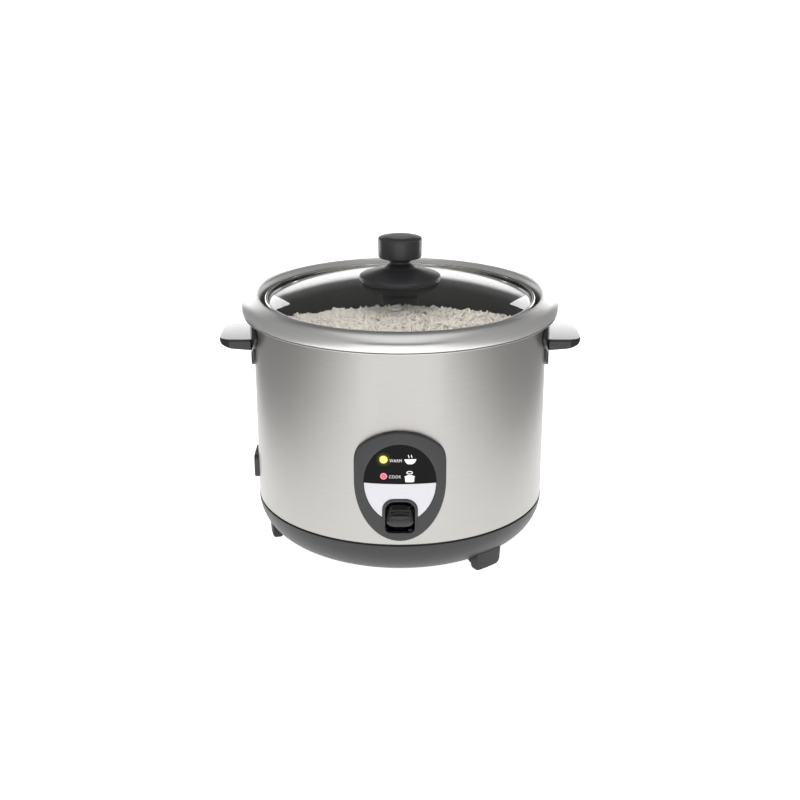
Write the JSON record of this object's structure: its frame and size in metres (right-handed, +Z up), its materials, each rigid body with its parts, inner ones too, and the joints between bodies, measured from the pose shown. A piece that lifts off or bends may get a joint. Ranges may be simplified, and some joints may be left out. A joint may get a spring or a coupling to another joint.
{
  "type": "rice cooker",
  "caption": "Drum-shaped electric rice cooker with a glass lid, lift-out pot, side handles, a sprung cook paddle and a side power inlet.",
  "frame": {"origin": "on the surface the feet stand on, under the centre of the drum", "axes": "+Z up, -Y towards the control panel, +X to the right seen from the front"},
  "size_m": [0.3244, 0.2844, 0.281],
  "materials": {
    "brushed_steel": "brushed round the drum",
    "spun_aluminium": "spun, satin",
    "polished_band": "polished",
    "charcoal_plastic": "fine matt",
    "black_plastic": "gloss",
    "foot_rubber": "matt",
    "label_black": "printed black plate",
    "label_silver": "silver print",
    "lens_amber": "lit lens",
    "lens_red": "lens",
    "lamp_glass": "clear",
    "lid_glass": "tempered, clear",
    "cast_aluminium": "cast",
    "element_sheath": "drawn tube",
    "zinc_steel": "zinc plated",
    "brass": "plain",
    "white_insulator": "heat resistant",
    "wire_cover": "silicone sleeve"
  },
  "bodies": {
    "housing": {"outer_shell": "brushed_steel", "top_rim": "spun_aluminium", "base_housing": "charcoal_plastic", "control_bezel": "charcoal_plastic", "handle_left": "black_plastic", "handle_right": "black_plastic", "inlet_housing": "black_plastic", "micro_switch": "black_plastic", "foot_front_right": "foot_rubber", "foot_left": "foot_rubber", "foot_rear": "foot_rubber", "label_plate_upper": "label_black", "label_plate_lower": "label_silver", "warm_lamp_lens": "lens_amber", "cook_lamp_lens": "lens_red", "warm_lamp": "lamp_glass", "cook_lamp": "lamp_glass", "hot_plate": "cast_aluminium", "heating_element": "element_sheath", "inner_liner": "zinc_steel", "sensor_sleeve": "zinc_steel", "sensor_spring": "zinc_steel", "pivot_pin": "zinc_steel", "lever_bracket": "zinc_steel", "base_post_1": "zinc_steel", "base_post_2": "zinc_steel", "base_post_3": "zinc_steel", "base_screw_1": "zinc_steel", "base_screw_2": "zinc_steel", "base_screw_3": "zinc_steel", "hot_plate_screw_1": "zinc_steel", "hot_plate_screw_2": "zinc_steel", "hot_plate_screw_3": "zinc_steel", "handle_screw_left_front": "zinc_steel", "handle_screw_left_rear": "zinc_steel", "handle_screw_right_front": "zinc_steel", "handle_screw_right_rear": "zinc_steel", "inlet_pin_line": "brass", "inlet_pin_earth": "brass", "inlet_pin_neutral": "brass", "thermal_fuse": "brass", "terminal_block": "white_insulator", "lamp_holder": "white_insulator", "keep_warm_heater": "white_insulator", "wire_line": "wire_cover", "wire_neutral": "wire_cover", "wire_earth": "wire_cover", "wire_element_near": "wire_cover", "wire_element_far": "wire_cover"},
    "inner_pot": {"inner_pot": "spun_aluminium"},
    "lid": {"lid_glass": "lid_glass", "lid_band": "polished_band", "lid_knob": "black_plastic", "knob_screw": "zinc_steel", "knob_washer": "spun_aluminium", "vent_eyelet": "polished_band"},
    "sensor": {"sensor_cap": "spun_aluminium"},
    "cook_lever": {"lever_arm": "zinc_steel", "cook_paddle": "black_plastic"},
    "magnet_rod": {"magnet_rod": "zinc_steel"}
  },
  "joints": [
    {"name": "pot_lift", "type": "slide", "parent": "housing", "child": "inner_pot", "axis": [0, 0, 1], "range_m": [0, 0.16]},
    {"name": "lid_lift", "type": "slide", "parent": "inner_pot", "child": "lid", "axis": [0, 0, 1], "range_m": [0, 0.12]},
    {"name": "sensor_press", "type": "slide", "parent": "housing", "child": "sensor", "axis": [0, 0, 1], "range_m": [-0.0025, 0], "stiffness_N_per_m": 400, "springref_m": 0.003, "deforming": ["sensor_spring"]},
    {"name": "cook_press", "type": "hinge", "parent": "housing", "child": "cook_lever", "pos_m": [0, -0.076, 0.046], "axis": [1, 0, 0], "range_deg": [0, 4.5], "stiffness_Nm_per_rad": 0.6, "springref_deg": -8.59},
    {"name": "magnet_lift", "type": "slide", "parent": "housing", "child": "magnet_rod", "axis": [0, 0, 1], "range_m": [0, 0.0065]}
  ],
  "couplings": [
    {"joint": "magnet_lift", "follows": "cook_press", "m_per_rad": 0.076}
  ]
}
